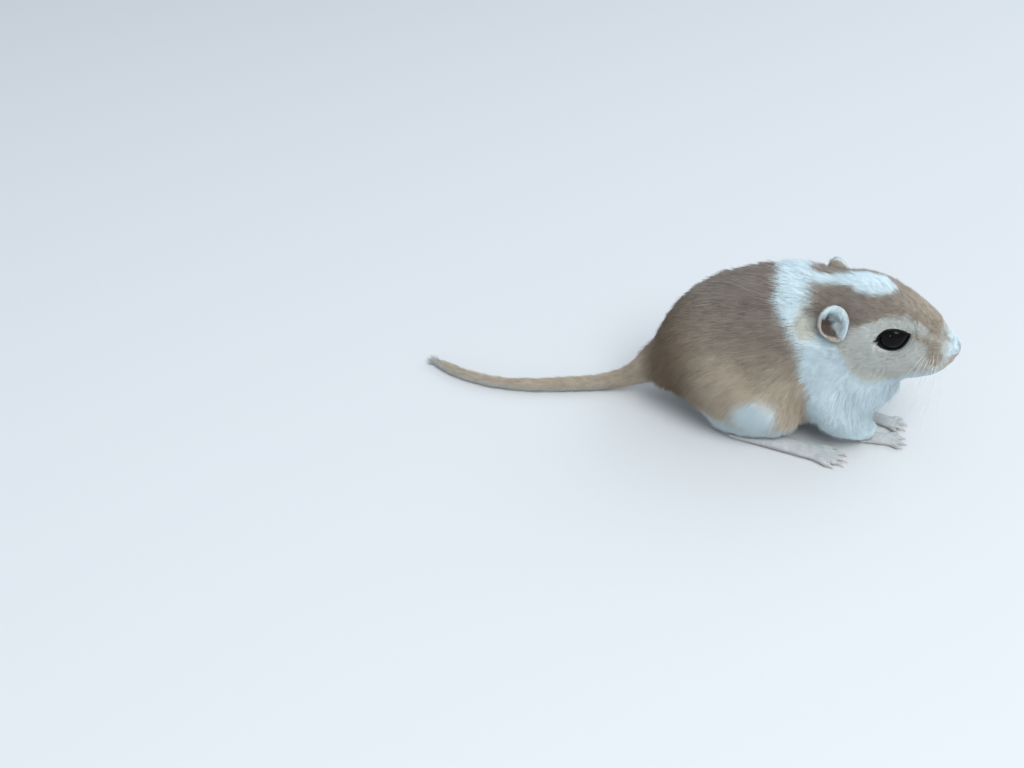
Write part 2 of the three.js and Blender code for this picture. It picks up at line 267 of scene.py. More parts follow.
def swollen(names, by):
    # copies of CAD nodes, joined, each pushed out along its normals
    joined = bmesh.new()
    for name in names:
        part = bmesh.new()
        part.from_mesh(cadNodes[name].data)
        bmesh.ops.remove_doubles(part, verts=part.verts, dist=1e-6)
        part.normal_update()
        pushes = [vertex.normal.copy() for vertex in part.verts]
        for vertex, push in zip(part.verts, pushes):
            vertex.co += push * by * 0.001
        carrier = bpy.data.meshes.new(name)
        part.to_mesh(carrier)
        part.free()
        joined.from_mesh(carrier)
        bpy.data.meshes.remove(carrier)
    return joined


def addBall(shape, middle, radii, turn=None):
    # an ellipsoid, in millimetres, as one more closed form of a bmesh
    place = Matrix.Translation(toRow(middle)) @ (turn or Matrix.Identity(3)).to_4x4()
    size = Matrix.Diagonal([*(radius * 0.001 for radius in radii), 1])
    bmesh.ops.create_icosphere(shape, subdivisions=4, radius=1, matrix=place @ size)


def melted(name, shape, voxel):
    mesh = bpy.data.meshes.new(name)
    shape.to_mesh(mesh)
    shape.free()
    lump = newObject(name, mesh)
    remesh = lump.modifiers.new("melt", "REMESH")
    remesh.mode = "VOXEL"
    remesh.voxel_size = voxel * 0.001
    depsgraph = bpy.context.evaluated_depsgraph_get()
    result = bpy.data.meshes.new_from_object(lump.evaluated_get(depsgraph))
    bpy.data.objects.remove(lump)
    return result


def edgesOf(mesh):
    flat = np.empty(len(mesh.edges) * 2, np.int32)
    mesh.edges.foreach_get("vertices", flat)
    return flat.reshape(-1, 2)


def smoothed(points, edges, weight, rounds):
    a, b = edges.T
    total = len(points)
    count = np.bincount(edges.ravel(), minlength=total)[:, None]
    for _ in range(rounds):
        sums = [np.bincount(a, axis[b], total) + np.bincount(b, axis[a], total) for axis in points.T]
        points = points + weight[:, None] * (np.stack(sums, 1) / count - points)
    return points


headTurn = Matrix(headAxes.T.tolist())
body = swollen(fleshNodes, skinSizes["gapFill"])
for side in sides:
    addBall(body, fromHead(eyePlace(side)), [eye["socket"]] * 3)
addBall(body, fromHead(skull["at"]), skull["radii"], headTurn)
bodyMesh = melted("body", body, skinSizes["voxel"])
feetMesh = melted("feet", swollen(footNodes, skinSizes["footFill"]), skinSizes["footVoxel"])
print("skin melted:", len(bodyMesh.polygons), "faces of body,", len(feetMesh.polygons), "of feet")

points = pointsOf(bodyMesh)
head = toHead(points)
fine = np.maximum(ease(20, 27, head[:, 0]), ease(-34, -40, points[:, 0]))
fine = np.maximum(fine, ease(9, 5, points[:, 2]) * ease(6, 10, points[:, 0]))
points = smoothed(points, edgesOf(bodyMesh), 0.55 - 0.42 * fine, skinSizes["rounds"])
setPoints(bodyMesh, points)
feet = pointsOf(feetMesh)
feet = smoothed(feet, edgesOf(feetMesh), np.full(len(feet), 0.4), skinSizes["footRounds"])
feet[:, 2] = np.maximum(feet[:, 2], 0.0)
setPoints(feetMesh, feet)


def overHead(head):
    # 1 on the head, 0 behind and below it
    return ease(-10.8, -8.6, head[:, 2]) * ease(-1.5, 2.5, head[:, 0])


# The coat's depth over the skin
def coatDepth(points):
    head = toHead(points)
    x, z = points[:, 0], points[:, 2]
    depth = np.full(len(points), 1.2)
    depth += 0.25 * near(points, (2, 0, 20), (16, 18, 22))  # collar and throat
    depth -= 0.55 * ease(12, 5, z)  # lower legs and belly
    depth -= 0.45 * ease(8, 4, z) * ease(4, 9, x)
    face = np.interp(head[:, 0], [0, 8, 18, 24, 28, 31], [1.2, 0.95, 0.75, 0.45, 0.2, 0.1])
    depth += overHead(head) * (face - depth)
    depth += ease(-32, -38, x) * (0.6 - depth)
    depth += ease(-70, -86, x) * (0.42 - depth)
    return depth


bodyMesh.update()
points = pointsOf(bodyMesh)
points = points - normalsOf(bodyMesh) * (coatDepth(points) + skinSizes["gapFill"])[:, None]
points = smoothed(points, edgesOf(bodyMesh), np.full(len(points), 0.3), 4)
setPoints(bodyMesh, points)


# Smaller faces round the eyes, the nose and the mouth
def refined(mesh, front, below, reach):
    work = bmesh.new()
    work.from_mesh(mesh)
    middles = np.array([edge.verts[0].co + edge.verts[1].co for edge in work.edges]) / 2
    head = toHead(fromRow(middles))
    chosen = (head[:, 0] > front) & (head[:, 2] < below) | (toEye(head) < reach)
    edges = [edge for edge, keep in zip(work.edges, chosen) if keep]
    bmesh.ops.subdivide_edges(work, edges=edges, cuts=1, use_grid_fill=True)
    work.to_mesh(mesh)
    work.free()
    mesh.update()


refined(bodyMesh, front=25.4, below=99, reach=5.2)
refined(bodyMesh, front=26.2, below=0.6, reach=4.5)
points = pointsOf(bodyMesh)
head = toHead(points)
local = np.maximum(ease(24.6, 26, head[:, 0]), ease(6, 5, toEye(head)))
points = smoothed(points, edgesOf(bodyMesh), 0.5 * local, 6)


# The lids part in an almond: each arc is the top third of an ellipse, so 0.7454 is the root of 5/9
def almondArc(along, rise):
    return rise * (3 * np.sqrt(np.clip(1 - (0.7454 * along / eye["half"]) ** 2, 0, 1)) - 2)


def lidAxes(side):
    # along the almond, above it, and out of the head
    run, climb = math.cos(eye["slant"]), math.sin(eye["slant"])
    return np.array([run, 0, climb]), np.array([-climb, 0, run]), np.array([0, side, 0])


def outsideAlmond(head, side):
    # how far points of the head lie outside its edge
    along, above, _ = lidAxes(side)
    away = head - eyePlace(side)
    u, v = away @ along, away @ above
    ends = np.abs(u) - eye["half"]
    return np.maximum(ends, np.maximum(v - almondArc(u, eye["above"]), -v - almondArc(u, eye["below"])))


# Mouth and split lip, from the middle outwards, and a nostril
mouth = np.array(
    [(30.15, 0, -2.5), (29.75, 1.0, -2.75), (29.4, 2.3, -3.1), (28.6, 3.6, -3.5), (27.4, 4.7, -4.0)]
)
philtrum = np.array([(30.65, 0, -0.9), (30.45, 0, -1.6), (30.15, 0, -2.5)])
nostril = {"at": (30.2, 1.25, -0.6), "radii": (0.7, 0.55, 0.45)}
lids = {"edge": 3.8, "under": 3.3, "reach": 7, "slope": 0.35, "backSlope": 1.1}


def farFrom(points, line):
    # distance to a bent line
    best = np.full(len(points), 1e9)
    for a, b in zip(line[:-1], line[1:]):
        t = np.clip((points - a) @ (b - a) / ((b - a) @ (b - a)), 0, 1)
        best = np.minimum(best, np.linalg.norm(points - a - t[:, None] * (b - a), axis=1))
    return best


def mirrored(head):
    # both sides of the head laid over the left one
    return head * np.array([1, 0, 1]) + np.abs(head) * np.array([0, 1, 0])


head = toHead(points)
for side in sides:
    away = head - eyePlace(side)
    far = np.linalg.norm(away, axis=1)
    facing = away[:, 1] * side > 0.3
    outside = outsideAlmond(head, side)
    rim = lids["under"] + 0.5 * ease(-0.5, -0.05, outside)
    # a gentle slope down to the back corner, a short one elsewhere
    slope = lids["slope"] + lids["backSlope"] * ease(-1.5, -3.2, away @ lidAxes(side)[0])
    lid = lids["edge"] + np.maximum(far - lids["edge"], 0) * ease(0, slope, outside)
    wanted = np.where(outside < 0, rim, lid)
    moved = facing & (far < lids["reach"]) & (outside < 1.5)
    head[moved] = eyePlace(side) + away[moved] * (wanted / far)[moved, None]
oneSide = mirrored(head)
bodyMesh.update()
inward = -normalsOf(bodyMesh) @ headAxes.T
groove = 0.34 * (1 - ease(0.05, 0.42, farFrom(oneSide, mouth)))
groove += 0.25 * (1 - ease(0.03, 0.3, farFrom(oneSide, philtrum)))
groove += 0.7 * near(oneSide, nostril["at"], nostril["radii"])
noseTip = 0.2 * near(oneSide, (30.2, 0.8, -0.2), (1.1, 1.3, 1.0))
groove -= noseTip + 0.35 * near(oneSide, (29.6, 0.6, 1.4), (1.7, 2, 1.5))
groove += 0.3 * near(oneSide, (27.2, 0, 4.0), (1.4, 2.4, 1.6))
head += inward * groove[:, None]
points = fromHead(head)
setPoints(bodyMesh, points)


def ringsAround(line, across, over, radii, turns):
    # rings of points about a line, square to it
    angle = np.arange(turns) / turns * 2 * math.pi
    ring = across[:, None] * np.cos(angle)[None, :, None] + over[:, None] * np.sin(angle)[None, :, None]
    return (line[:, None] + ring * np.reshape(radii, (-1, 1, 1))).reshape(-1, 3)


def ringFaces(rows, turns, loop=False):
    # faces between rings of points, which end in lids or close in a loop
    total = rows * turns
    faces = []
    for i in range(rows if loop else rows - 1):
        for j in range(turns):
            a, b = i * turns + j, i * turns + (j + 1) % turns
            faces.append([a, b, (b + turns) % total, (a + turns) % total])
    if not loop:
        faces.append(list(range(turns))[::-1])
        faces.append(list(range(total - turns, total)))
    return faces


def joinedMesh(name, meshes, turnedOut=False):
    made = bmesh.new()
    for mesh in meshes:
        made.from_mesh(mesh)
    if turnedOut:
        bmesh.ops.recalc_face_normals(made, faces=made.faces)
    result = bpy.data.meshes.new(name)
    made.to_mesh(result)
    made.free()
    return result


def setValues(mesh, name, values):
    kind, field = ("FLOAT_VECTOR", "vector") if values.ndim == 2 else ("FLOAT", "value")
    made = mesh.attributes.new(name, kind, "POINT")
    made.data.foreach_set(field, values.astype(np.float32).ravel())


# Ears: oval cups, as the solids have them, with a rolled rim and folds inside
ear = {
    "base": (5.5, 11.0, 0.5),
    "stand": (-0.53, -0.04, 0.85),
    "opens": (0.46, 0.88, 0.1),
    "length": 8.3,
    "width": 6.8,
    "depth": 2.7,
    "wall": 0.5,
    "around": 56,
    "rings": 15,
}


def earCup(side):
    turns, rings = ear["around"], ear["rings"]
    quarter = np.linspace(0.04, 1, rings) * math.pi / 2
    outer = np.stack([np.sin(quarter), -np.cos(quarter)], 1)
    thin = 2 * ear["wall"] / ear["width"]
    inner = outer * (1 - thin, 1 - ear["wall"] / ear["depth"])
    over = np.array([0.5, 1.57, 2.6])
    crest = np.stack([1 - 0.5 * thin + 0.6 * thin * np.cos(over), 0.16 * np.sin(over)], 1)
    profile = np.concatenate([outer, crest, inner[::-1]])
    angle = np.arange(turns) / turns * 2 * math.pi
    across = profile[:, :1] * np.sin(angle)
    high = profile[:, :1] * np.cos(angle)
    out = np.repeat(profile[:, 1:], turns, 1)
    inside = np.repeat((np.arange(len(profile)) >= rings + 1)[:, None], turns, 1)
    cup = np.stack([across * ear["width"] / 2, out * ear["depth"], high * ear["length"] / 2], 2)
    cup = cup.reshape(-1, 3)
    inside = inside.ravel()
    share = cup[:, 2] / ear["length"] + 0.5
    cup[:, 0] *= 1 - 0.12 * share - 0.6 * np.maximum(0, 0.4 - share)
    cup[:, 1] += -0.8 * np.sin(math.pi * share) + 0.5 * share
    # a fold across the lower front, and a hollow above it
    folds = 0.9 * near(cup, (1.1, -1.4, -2.6), (1.7, 3, 1.5))
    folds -= 0.3 * near(cup, (-0.8, -1.6, 0.6), (2.0, 3, 2.6))
    folds += 0.35 * near(cup, (-0.4, -1.6, -1.2), (2.6, 3, 0.7))
    cup[:, 1] += inside * folds
    cup[:, 2] += ear["length"] / 2
    stand = unit(np.array(ear["stand"]) * (1, side, 1))
    opens = np.array(ear["opens"]) * (1, side, 1)
    opens = unit(opens - opens @ stand * stand)
    cup = cup @ np.array([np.cross(opens, stand), opens, stand])
    placed = cup + np.array(ear["base"]) * (1, side, 1)
    shell = meshOf("ear", fromHead(placed), ringFaces(len(profile), turns))
    shell = joinedMesh("ear", [shell], turnedOut=True)
    setValues(shell, "inside", inside)
    return shell


earMeshes = [earCup(side) for side in sides]
print("ears, lids, nose and mouth are shaped")


# Markings, from 0 to 1, at points in millimetres. The collar and the snout are read by height, the rest
# along the head
borders = {
    "collarBack": [(3, 3.4), (6, 3.0), (10.9, 1.7), (14.9, 0.8), (18.5, -0.6), (22.8, -1.6)]
    + [(26.4, -3.5), (29.7, -5.4), (31.8, -7.4), (34.4, -8.6), (37.5, -9.2)],
    "cap": [(-5.5, 3.6), (-3, 2.6), (0, 3.2), (3, 2.8), (6.8, 2.2), (9.5, 4.2), (11.6, 5.6)]
    + [(13.9, 6.6), (16.3, 6.9), (17.9, 6.7), (19.9, 5.5), (22, 3.9), (23.9, 2.4), (25.5, 2.4)],
    "blazeHalf": [(-3, 1.4), (0.3, 1.2), (3, 1.9), (5.4, 2.9), (8, 3.4), (10.6, 3.1)]
    + [(12, 2.1), (13.4, 0.2)],
    "blazeMiddle": [(-3, -2.2), (0.3, -1.7), (3, -1.0), (8, -1.4), (13, -0.9)],
    "snoutFront": [(-3, 26.8), (0, 26.5), (2.8, 26.2), (4.5, 25.8), (6, 25.2)],
    "snoutBack": [(-3, 24.4), (-2, 24.1), (0, 22.8), (2.6, 21.4), (4, 21)],
    "jaw": [(-1, 0.5), (3.3, -1.2), (6.8, -3.2), (8.4, -5.9), (12.7, -8.6), (16.2, -8.1)]
    + [(20, -6.9), (22.6, -5), (27, -4)],
}
tearLine = np.array([(18.8, 7.3, 4.1), (22.2, 5.3, 2.5), (23.8, 4.9, 1.65), (24.5, 5.0, 0.35)])


def border(name, value):
    return np.interp(value, *np.array(borders[name]).T)


def markings(points):
    head = toHead(points)
    x, y, z = points.T
    hx, hy, hz = head.T
    wobble = 0.5 * ripples(points, 3.2, 3) + 0.3 * ripples(points, 1.3, 4)
    onHead = ease(-1.5, 1.5, hx)
    white = ease(-0.7, 0.7, x - border("collarBack", z) + wobble)
    # brown cap on crown and nape, as far as the collar, and the white blaze down its middle
    cap = ease(-0.9, 0.9, hz - border("cap", hx) + wobble * 0.7) * ease(-5.2, -3.0, hx + wobble * 0.5)
    cap *= 1 - ease(24.4, 25.8, hx)
    fromMiddle = np.abs(hy - border("blazeMiddle", hx))
    blaze = ease(-0.5, 0.5, border("blazeHalf", hx) - fromMiddle + wobble * 0.5) * ease(3, 6, hz)
    blaze *= ease(13.6, 12.8, hx)
    white = white * (1 - cap) + cap * blaze
    # cream cheek, tan along the jaw, and buff behind the ear
    noseTop = ease(26.9, 28.0, hx) * ease(-0.7, 0.2, hz)
    overJaw = hz - border("jaw", hx)
    cheek = ease(-1.2, 1.2, overJaw) * ease(1, 4.5, hx) * (1 - cap) * (1 - noseTop)
    jaw = cheek * ease(4.2, 0.5, overJaw)
    oneSide = mirrored(head)
    buff = near(oneSide, (-2.6, 9.8, 1.6), (3.8, 5, 5.2))
    tan = np.clip(0.3 * cheek + 0.2 * jaw + 0.65 * buff * (1 - cap), 0, 1)
    # a darker band over the snout, mottled whisker pads and a pink patch beside the nostril
    snout = ease(-0.8, 0.8, border("snoutFront", hz) - hx + wobble * 0.5) * ease(-3.4, -2.2, hz)
    snout *= ease(-0.9, 0.9, hx - border("snoutBack", hz) + wobble * 0.6) * (1 - cap)
    white = white * (1 - 0.36 * cheek) * (1 - 0.68 * snout)
    spots = near(oneSide, (24.5, 5.2, 1.1), (1.9, 2.5, 2.4))
    spots += 0.9 * near(oneSide, (25.7, 5.2, -1.0), (2.2, 2.5, 1.9))
    spots *= 0.7 + 0.3 * ripples(points, 0.8, 9)
    white -= 0.8 * spots
    pink = near(oneSide, (29.4, 2.5, -0.9), (1.8, 1.8, 1.2))
    white *= 1 - 0.5 * pink
    tan = np.maximum(tan, 0.3 * pink)
    # knee, belly and legs
    outward = np.stack([x, np.abs(y), z], 1)
    knee = near(outward, (-8.8, 16, 7.8), (6.4, 7, 6.2))
    white = np.maximum(white, 0.95 * knee)
    white = np.maximum(white, 0.9 * ease(7, 4, z + 0.9 * wobble) * ease(-27, -24, x))
    tan = np.maximum(tan, 0.42 * near(outward, (-5.5, 14.5, 14.5), (5, 5, 5)) * (1 - white))
    # the darker back, painted shade over the rump, and the line from the eye to the muzzle
    dark = ease(10, 34, z) * ease(4, -4, x) * (1 - onHead)
    dark = np.maximum(dark, cap * np.interp(hx, [-3, 4, 12, 20], [0.8, 1.0, 0.85, 0.5]))
    dark = np.maximum(dark, 0.55 * cheek + 0.6 * spots + 0.3 * snout)
    # painted shade: the rump darker and browner towards the rear and low down, fading before the tail
    brown = ease(-13, -25, x + 0.3 * z) * (1 - 0.9 * ease(-31.5, -36, x))
    tear = 1 - ease(0.35, 1.3, farFrom(oneSide, tearLine))
    dark = np.maximum(dark, tear)
    white = white * (1 - 0.9 * tear)
    underTail = ease(-32, -36, x) * ease(0.3, -0.4, (z - 1.5) / 2)
    white = np.maximum(white, 0.45 * underTail)
    marks = {"white": white, "tan": tan, "dark": dark, "brown": brown}
    return {name: np.clip(values, 0, 1) for name, values in marks.items()}


# Lie of the hair, in the animal's axes
tailLine = np.array(
    [(-31, 0, 10), (-34.5, -0.1, 7.4), (-38, -0.3, 4.9), (-42, -0.8, 2.9), (-47, -2.2, 1.9)]
    + [(-53.5, -4.4, 1.7), (-61, -6.8, 1.55), (-69, -8, 1.4), (-77, -7.2, 1.35), (-84, -4.6, 1.2)]
    + [(-87.6, -2.6, 0.9)]
)


def lieAt(points, normals):
    head = toHead(points)
    x, y, z = points.T
    hx, hy, hz = head.T
    one, zero = np.ones(len(points)), np.zeros(len(points))

    def blend(base, vector, weight):
        vector = np.stack([np.broadcast_to(value, one.shape) for value in vector], 1)
        return base + weight[:, None] * (unit(vector) - base)

    drop = np.interp(z, [4, 10, 18, 26, 34], [2.2, 1.5, 0.85, 0.4, 0.05]) * (1 + 0.9 * ease(-16, -30, x))
    flow = unit(np.stack([-one, zero, -drop], 1))
    flow = blend(flow, (-1, 0, -0.05), ease(4, 2, z) * (np.abs(y) < 9))
    under = ease(-4, 4, x) * ease(27, 22, z)
    flow = blend(flow, (-0.75, 0, -1), under)
    flow = blend(flow, (0.15, 0, -1), ease(-1, 6, x) * ease(16, 9, z))
    flow = blend(flow, (0.45, 0, -0.9), ease(4, 9, x) * ease(9, 5, z))
    flow = blend(flow, (-1, 0, -0.25), ease(-8, 0, hx) * ease(-8, 0, hz) * ease(1, -3, hx))
    fall = np.interp(hz, [-9, -4, 3, 8], [-0.75, -0.3, -0.08, 0.02])
    faceFlow = unit(np.stack([-one, 0.12 * np.sign(hy), fall], 1)) @ headAxes
    onHead = ease(-10.6, -8.8, hz) * ease(-1.5, 2.5, hx)
    flow = flow + onHead[:, None] * (faceFlow - flow)
    slope = np.gradient(tailLine[::-1], axis=0)
    tailFlow = unit(-np.stack([np.interp(x, tailLine[::-1, 0], axis) for axis in slope.T], 1))
    flow = flow + ease(-32, -37, x)[:, None] * (tailFlow - flow)
    for side in sides:
        # it parts before the eye and closes behind it, as water does round a pile
        away = points - fromHead(eyePlace(side))
        apart = np.linalg.norm(away, axis=1)
        away = away / apart[:, None]
        bend = np.minimum(3.3 / apart, 1) ** 2 * ease(12, 8, apart)
        flow = flow + bend[:, None] * (flow - 2 * (flow * away).sum(1)[:, None] * away)
    flow = flow - (flow * normals).sum(1)[:, None] * normals
    return unit(flow)


# Length in millimetres, tufts to a square millimetre, how steeply they stand, and how bare the skin is
longest = 4.8


def coatAt(points):
    head = toHead(points)
    x, y, z = points.T
    hx, hy, hz = head.T
    onHead = overHead(head)
    length = longest - 1.6 * ease(12, 5, z) - 1.0 * ease(8, 4, z) * ease(4, 9, x)
    count = 14.5 + 3.0 * ease(12, 5, z) + 2.0 * ease(-6, 0, x)
    count = count * (1 - 0.55 * ease(4, 2, z) * (np.abs(y) < 9))
    faceLength = np.interp(hx, [0, 8, 16, 21, 25, 28, 31], [3.8, 2.9, 2.4, 1.7, 1.1, 0.7, 0.45])
    faceCount = np.interp(hx, [0, 8, 16, 21, 25, 28, 31], [20, 25, 30, 36, 44, 54, 60])
    length += onHead * (faceLength - length)
    count += onHead * (faceCount - count)
    tailward = ease(-31, -38, x)
    length += tailward * (2.0 - length)
    count += tailward * (20 - count)
    # short and dense round the eyes, lifted off the lids, and none between them
    lift = np.zeros(len(points))
    for side in sides:
        away = np.linalg.norm(head - eyePlace(side), axis=1)
        ring = ease(6.5, 4.2, away)
        length *= 1 - 0.62 * ring
        count *= 1 + 0.6 * ring
        outside = outsideAlmond(head, side)
        atLid = (away < 5.5) & (hy * side > 0)
        length *= np.where(atLid, 0.45 + 0.55 * ease(0.2, 1.0, outside), 1)
        lift += np.where(atLid, 0.25 * ease(1.0, 0.3, outside), 0)
        count[atLid & (outside < 0.31)] = 0
    oneSide = mirrored(head)
    # longer hair before the ear, which hides the foot of its front rim
    beforeEar = near(oneSide, (8.8, 9.8, 2.2), (2.6, 3.5, 3.6))
    length += 1.5 * beforeEar
    lift += 0.2 * beforeEar
    count *= ease(0.14, 0.45, farFrom(oneSide, mouth)) * ease(0.14, 0.4, farFrom(oneSide, philtrum))
    count *= 1 - near(oneSide, nostril["at"], np.array(nostril["radii"]) * 1.8)
    besideNose = near(oneSide, (29.5, 2.4, -0.9), (1.6, 1.7, 1.0))
    bare = np.maximum(besideNose, near(oneSide, (30.6, 0.8, -0.7), (1.2, 1.6, 1.3)))
    count *= 1 - 0.75 * bare
    bare = np.maximum(1.2 * bare, 0.45 * ease(26.5, 28.5, hx))
    return length, count, lift, bare


# Materials. Colours of the hair, as the photograph shows them in soft light
hairColours = {
    "flank": (0.60, 0.50, 0.385),
    "back": (0.30, 0.25, 0.215),
    # this brown paints shade: over the rump, and deep in the hollow of the ear
    "brown": (0.215, 0.160, 0.110),
    "tan": (0.80, 0.71, 0.55),
    "white": (0.79, 0.93, 0.98),
    "skin": (0.47, 0.34, 0.33),
}


def named(tree, name):
    return node(tree, "ShaderNodeAttribute", attribute_name=name).outputs


def mixed(tree, factor, a, b, blend="MIX"):
    made = node(tree, "ShaderNodeMix", {0: factor}, data_type="RGBA", blend_type=blend)
    for index, value in ((6, a), (7, b)):
        if isinstance(value, bpy.types.NodeSocket):
            tree.links.new(value, made.inputs[index])
        else:
            made.inputs[index].default_value = (*value, 1)
    return made.outputs[2]


def ramp(tree, factor, stops):
    made = node(tree, "ShaderNodeValToRGB", {"Fac": factor})
    elements = made.color_ramp.elements
    for index, (place, value) in enumerate(stops):
        element = elements[index] if index < 2 else elements.new(place)
        element.position = place
        element.color = (*value, 1) if isinstance(value, tuple) else (value, value, value, 1)
    return made.outputs["Color"]


def hairBase(tree):
    base = mixed(tree, named(tree, "dark")["Fac"], hairColours["flank"], hairColours["back"])
    base = mixed(tree, named(tree, "brown")["Fac"], base, hairColours["brown"])
    base = mixed(tree, named(tree, "white")["Fac"], base, hairColours["white"])
    return mixed(tree, named(tree, "tan")["Fac"], base, hairColours["tan"])


def clouded(name, scale, detail, stops, constants):
    # a plain finish with soft clouds of another shade
    made, tree, shader = newMaterial(name, constants)
    place = node(tree, "ShaderNodeTexCoord").outputs["Object"]
    cloud = node(tree, "ShaderNodeTexNoise", {"Vector": place, "Scale": scale, "Detail": detail})
    tree.links.new(ramp(tree, cloud.outputs["Fac"], stops), shader.inputs["Base Color"])
    return made


coatFinish, tree, shader = newMaterial("coat", {"Roughness": 0.75, "Specular IOR Level": 0.16})
alongHair = named(tree, "along")["Fac"]
shade = named(tree, "shade")["Fac"]
whiteHair = named(tree, "white")["Fac"]
banded = ramp(tree, alongHair, [(0.0, 0.6), (0.95, 1.06), (0.3, 0.8), (0.6, 0.98)])
pale = ramp(tree, alongHair, [(0.0, 0.8), (0.9, 1.0), (0.35, 0.93)])
lengthwise = mixed(tree, whiteHair, banded, pale)
colour = mixed(tree, 1.0, hairBase(tree), lengthwise, "MULTIPLY")
# some agouti tufts end in a dark tip, some in a fair one
tickingStops = [(0.0, 0.62), (0.22, 0.74), (0.3, 0.93), (0.62, 1.02), (0.7, 1.12), (1.0, 1.22)]
ticking = ramp(tree, shade, tickingStops)
paleTicking = ramp(tree, shade, [(0.0, 0.9), (0.5, 0.97), (1.0, 1.04)])
ticking = mixed(tree, whiteHair, ticking, paleTicking)
colour = mixed(tree, 1.0, colour, ticking, "MULTIPLY")
tree.links.new(colour, shader.inputs["Base Color"])

skinConstants = {
    "Roughness": 0.62,
    "Specular IOR Level": 0.1,
    "Subsurface Weight": 0.12,
    "Subsurface Radius": (0.0012, 0.0006, 0.0004),
}
skinFinish, tree, shader = newMaterial("skin", skinConstants)
place = node(tree, "ShaderNodeTexCoord").outputs["Object"]
base = mixed(tree, 1.0, hairBase(tree), (0.82, 0.8, 0.78), "MULTIPLY")
base = mixed(tree, named(tree, "bare")["Fac"], base, hairColours["skin"])
mottle = node(tree, "ShaderNodeTexNoise", {"Vector": place, "Scale": 900.0, "Detail": 4.0})
fineNoise = node(tree, "ShaderNodeTexNoise", {"Vector": place, "Scale": 3800.0, "Detail": 3.0})
tone = ramp(tree, mottle.outputs["Fac"], [(0.3, 0.84), (0.7, 1.1)])
base = mixed(tree, 1.0, base, tone, "MULTIPLY")
base = mixed(tree, named(tree, "rim")["Fac"], base, (0.006, 0.005, 0.005))
tree.links.new(base, shader.inputs["Base Color"])
bumpInputs = {"Height": fineNoise.outputs["Fac"], "Strength": 0.35, "Distance": 0.0001}
bump = node(tree, "ShaderNodeBump", bumpInputs)
tree.links.new(bump.outputs["Normal"], shader.inputs["Normal"])

# Eyes: smooth balls with a slightly raised cornea, which looks a little ahead
ballShape = {"around": 64, "rings": 48, "cornea": 0.035, "looks": (0.12, 1, 0.08)}
eyeStops = [(0.35, (0.001, 0.001, 0.0015)), (0.75, (0.005, 0.003, 0.003))]
eyeFinish = clouded("eye", 700.0, 2.0, eyeStops, {"Roughness": 0.05, "Specular IOR Level": 0.12})
for side, name in zip(sides, ("right", "left")):
    ball = bmesh.new()
    around, rings = ballShape["around"], ballShape["rings"]
    bmesh.ops.create_uvsphere(ball, u_segments=around, v_segments=rings, radius=1)
    ballMesh = bpy.data.meshes.new(f"eyeball_{name}")
    ball.to_mesh(ballMesh)
    ball.free()
    sphere = np.array([vertex.co for vertex in ballMesh.vertices])
    looks = unit(np.array(ballShape["looks"]) * (1, side, 1))
    bulge = 1 + ballShape["cornea"] * ease(0.75, 1.0, sphere @ looks)
    setPoints(ballMesh, fromHead(eyePlace(side) + sphere * bulge[:, None] * eye["radius"]))
    setSmooth(ballMesh)
    ballMesh.materials.append(eyeFinish)
    eyeball = newObject(f"eyeball_{name}", ballMesh)
    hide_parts(f"eye_{name}")
    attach(eyeball, "root")


def tubeMesh(name, line, radii, turns, up=(0, 0, 1)):
    # a closed tube along points, in millimetres
    line = np.asarray(line, float)
    way = unit(np.gradient(line, axis=0))
    across = unit(np.cross(np.array(up), way))
    points = ringsAround(line, across, np.cross(way, across), radii, turns)
    return meshOf(name, points, ringFaces(len(line), turns))


# Rims of the lids, dark, along the almond
lidRim = {"radius": 0.24, "stand": 0.16, "steps": 36, "around": 8, "within": 0.985}
rimMeshes = []
for side in sides:
    along, above, outwards = lidAxes(side)
    loop = []
    for high, way in ((eye["above"], 1), (eye["below"], -1)):
        run = np.cos(np.linspace(0, math.pi, lidRim["steps"] + 1)[:-1])
        u = run * eye["half"] * lidRim["within"] * way
        v = almondArc(u, high) * way
        flat = np.minimum(u * u + v * v, (eye["radius"] * lidRim["within"]) ** 2)
        depth = np.sqrt((eye["radius"] + lidRim["stand"]) ** 2 - flat)
        loop.append(u[:, None] * along + v[:, None] * above + depth[:, None] * outwards)
    loop = np.concatenate(loop)
    way = unit(np.roll(loop, -1, 0) - np.roll(loop, 1, 0))
    away = unit(loop)
    rim = ringsAround(loop, np.cross(way, away), away, lidRim["radius"], lidRim["around"])
    rimFaces = ringFaces(len(loop), lidRim["around"], loop=True)
    rimMeshes.append(meshOf("rim", fromHead(rim + eyePlace(side)), rimFaces))


# One skin of all these
def attributeOf(mesh, name):
    values = np.zeros(len(mesh.vertices), np.float32)
    if name in mesh.attributes:
        mesh.attributes[name].data.foreach_get("value", values)
    return values.astype(float)


parts = [bodyMesh, feetMesh, *earMeshes, *rimMeshes]
counts = [len(mesh.vertices) for mesh in parts]
partOf = np.repeat([0, 1, 2, 2, 3, 3], counts)
inside = np.concatenate([attributeOf(mesh, "inside") for mesh in parts])
skinMesh = joinedMesh("skin", parts, turnedOut=True)
skinPoints, skinNormals = pointsOf(skinMesh), normalsOf(skinMesh)
marks = markings(skinPoints)
onBody, onFoot, onEar, onRim = (partOf == kind for kind in range(4))
length, count, lift, bare = coatAt(skinPoints)
lie = lieAt(skinPoints, skinNormals)
thick = np.clip(length / longest, 0.3, 1) ** 0.6
hollow = ease(0.2, 0.8, inside)


